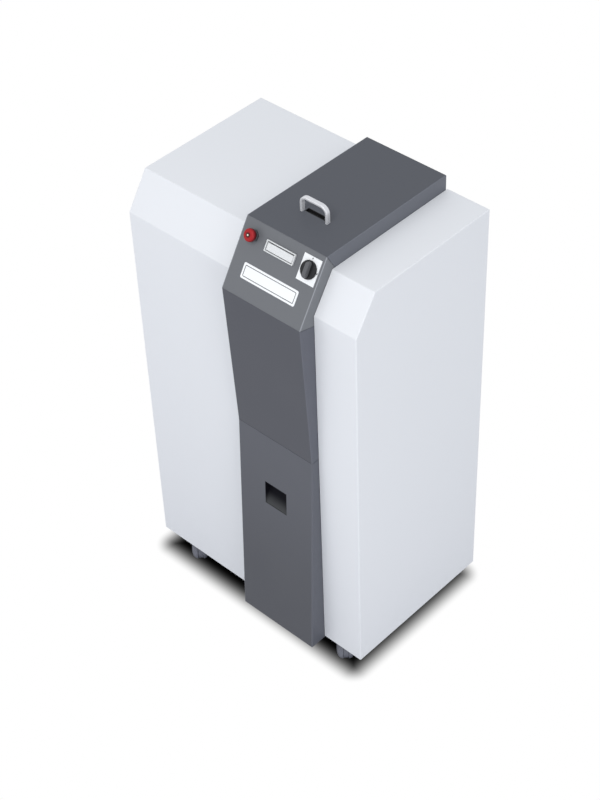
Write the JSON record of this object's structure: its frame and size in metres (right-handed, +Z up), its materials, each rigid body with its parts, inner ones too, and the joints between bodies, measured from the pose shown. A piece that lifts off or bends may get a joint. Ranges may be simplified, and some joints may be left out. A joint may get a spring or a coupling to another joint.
{
  "type": "hard drive shredder",
  "caption": "Floor-standing hard drive shredder: pale sheet-metal cabinet on twin-wheel castors with a dark service column, sloping control panel, feed slot, lid and waste drawer.",
  "frame": {"origin": "on the floor under the middle of the cabinet's bounding box", "axes": "+X to the machine's right as seen by a person facing it, +Y from the front to the back, +Z up"},
  "size_m": [0.926, 0.652, 1.692],
  "materials": {
    "cover_paint": "satin powder coat, pale grey white",
    "column_paint": "satin powder coat, dark grey",
    "frame_paint": "matt black paint",
    "sheet_steel": "zinc-plated sheet",
    "tool_steel": "ground tool steel",
    "gear_casting": "painted casting",
    "motor_paint": "semi-gloss paint",
    "electrics_paint": "textured powder coat",
    "castor_plastic": "satin moulded nylon",
    "white_plastic": "satin moulding",
    "label_film": "matt film",
    "black_plastic": "matt moulding",
    "knob_plastic": "satin moulding",
    "stop_red": "gloss moulding",
    "handle_aluminium": "satin anodised",
    "bright_metal": "polished",
    "bin_plastic": "moulded"
  },
  "bodies": {
    "cabinet": {"base_frame": "frame_paint", "castor_plates": "sheet_steel", "castor_bolts": "sheet_steel", "left_cover": "cover_paint", "left_side_panel": "cover_paint", "right_cover": "cover_paint", "side_plate_left": "sheet_steel", "side_plate_right": "sheet_steel", "rear_panel": "column_paint", "cable_gland": "black_plastic", "control_panel": "column_paint", "upper_front_panel": "column_paint", "lid_hinge_fixed": "frame_paint", "lid_hinge_pins": "tool_steel", "slot_frame": "white_plastic", "feed_flap_pin": "tool_steel", "feed_chute": "sheet_steel", "hopper": "sheet_steel", "estop_base": "knob_plastic", "switch_plate": "white_plastic", "label_plate": "label_film", "block_walls": "tool_steel", "block_beams": "frame_paint", "stripper_combs": "tool_steel", "shaft_bearings": "gear_casting", "gearbox": "gear_casting", "drive_motor": "motor_paint", "electrics_box": "electrics_paint", "runner_fixed": "sheet_steel", "discharge_chute": "sheet_steel"},
    "lid": {"lid": "column_paint", "lid_handle": "handle_aluminium", "handle_trough": "black_plastic", "lid_hinge_moving": "frame_paint"},
    "feed_flap": {"feed_flap": "white_plastic"},
    "estop_head": {"estop_head": "stop_red"},
    "estop_key": {"estop_key": "bright_metal"},
    "switch_knob": {"switch_knob": "knob_plastic"},
    "drawer": {"drawer_front": "column_paint", "finger_pull": "column_paint", "drawer_carriage": "frame_paint", "waste_bin": "bin_plastic", "runner_inner": "sheet_steel"},
    "runner_middle": {"runner_middle": "sheet_steel"},
    "cutters_front": {"cutter_shaft_a": "tool_steel", "cutters_a": "tool_steel", "spacers_a": "tool_steel", "sync_gear_a": "tool_steel"},
    "cutters_rear": {"cutter_shaft_b": "tool_steel", "cutters_b": "tool_steel", "spacers_b": "tool_steel", "sync_gear_b": "tool_steel"},
    "castor_front_left": {"castor_body_front_left": "castor_plastic"},
    "wheels_front_left": {"castor_wheels_front_left": "castor_plastic"},
    "castor_front_right": {"castor_body_front_right": "castor_plastic"},
    "wheels_front_right": {"castor_wheels_front_right": "castor_plastic"},
    "castor_rear_left": {"castor_body_rear_left": "castor_plastic"},
    "wheels_rear_left": {"castor_wheels_rear_left": "castor_plastic"},
    "castor_rear_right": {"castor_body_rear_right": "castor_plastic"},
    "wheels_rear_right": {"castor_wheels_rear_right": "castor_plastic"}
  },
  "joints": [
    {"name": "lid_hinge", "type": "hinge", "parent": "cabinet", "child": "lid", "pos_m": [0.147, 0.321, 1.586], "axis": [-1, 0, 0], "range_deg": [0, 80]},
    {"name": "feed_flap_hinge", "type": "hinge", "parent": "cabinet", "child": "feed_flap", "pos_m": [0.147, -0.21613, 1.60324], "axis": [1, 0, 0], "range_deg": [0, 88], "stiffness_Nm_per_rad": 0.02, "springref_deg": -34.38},
    {"name": "emergency_stop_press", "type": "slide", "parent": "cabinet", "child": "estop_head", "axis": [0, 0.8485, -0.5292], "range_m": [0, 0.005], "stiffness_N_per_m": 500, "springref_m": -0.004},
    {"name": "release_key_turn", "type": "hinge", "parent": "estop_head", "child": "estop_key", "pos_m": [0.039, -0.22481, 1.59782], "axis": [0, 0.8485, -0.5292], "range_deg": [0, 45], "stiffness_Nm_per_rad": 0.02, "springref_deg": -11.46},
    {"name": "main_switch_turn", "type": "hinge", "parent": "cabinet", "child": "switch_knob", "pos_m": [0.26, -0.23064, 1.58848], "axis": [0, 0.8485, -0.5292], "range_deg": [0, 90]},
    {"name": "drawer_slide", "type": "slide", "parent": "cabinet", "child": "drawer", "axis": [0, -1, 0], "range_m": [0, 0.43]},
    {"name": "runner_slide", "type": "slide", "parent": "cabinet", "child": "runner_middle", "axis": [0, -1, 0], "range_m": [0, 0.215]},
    {"name": "front_cutter_turn", "type": "hinge", "parent": "cabinet", "child": "cutters_front", "pos_m": [0.147, -0.114, 1.31], "axis": [1, 0, 0], "continuous": true},
    {"name": "rear_cutter_turn", "type": "hinge", "parent": "cabinet", "child": "cutters_rear", "pos_m": [0.147, -0.006, 1.31], "axis": [1, 0, 0], "continuous": true},
    {"name": "castor_swivel_front_left", "type": "hinge", "parent": "cabinet", "child": "castor_front_left", "pos_m": [-0.345, -0.2075, 0.0375], "axis": [0, 0, 1], "continuous": true},
    {"name": "wheel_roll_front_left", "type": "hinge", "parent": "castor_front_left", "child": "wheels_front_left", "pos_m": [-0.32763, -0.22548, 0.0375], "axis": [0.7193, 0.6947, 0], "continuous": true},
    {"name": "castor_swivel_front_right", "type": "hinge", "parent": "cabinet", "child": "castor_front_right", "pos_m": [0.345, -0.2075, 0.0375], "axis": [0, 0, 1], "continuous": true},
    {"name": "wheel_roll_front_right", "type": "hinge", "parent": "castor_front_right", "child": "wheels_front_right", "pos_m": [0.36237, -0.22548, 0.0375], "axis": [0.7193, 0.6947, 0], "continuous": true},
    {"name": "castor_swivel_rear_left", "type": "hinge", "parent": "cabinet", "child": "castor_rear_left", "pos_m": [-0.345, 0.2695, 0.0375], "axis": [0, 0, 1], "continuous": true},
    {"name": "wheel_roll_rear_left", "type": "hinge", "parent": "castor_rear_left", "child": "wheels_rear_left", "pos_m": [-0.32763, 0.25152, 0.0375], "axis": [0.7193, 0.6947, 0], "continuous": true},
    {"name": "castor_swivel_rear_right", "type": "hinge", "parent": "cabinet", "child": "castor_rear_right", "pos_m": [0.345, 0.2695, 0.0375], "axis": [0, 0, 1], "continuous": true},
    {"name": "wheel_roll_rear_right", "type": "hinge", "parent": "castor_rear_right", "child": "wheels_rear_right", "pos_m": [0.36237, 0.25152, 0.0375], "axis": [0.7193, 0.6947, 0], "continuous": true}
  ],
  "couplings": [
    {"joint": "runner_slide", "follows": "drawer_slide", "ratio": 0.5},
    {"joint": "rear_cutter_turn", "follows": "front_cutter_turn", "ratio": -1}
  ]
}
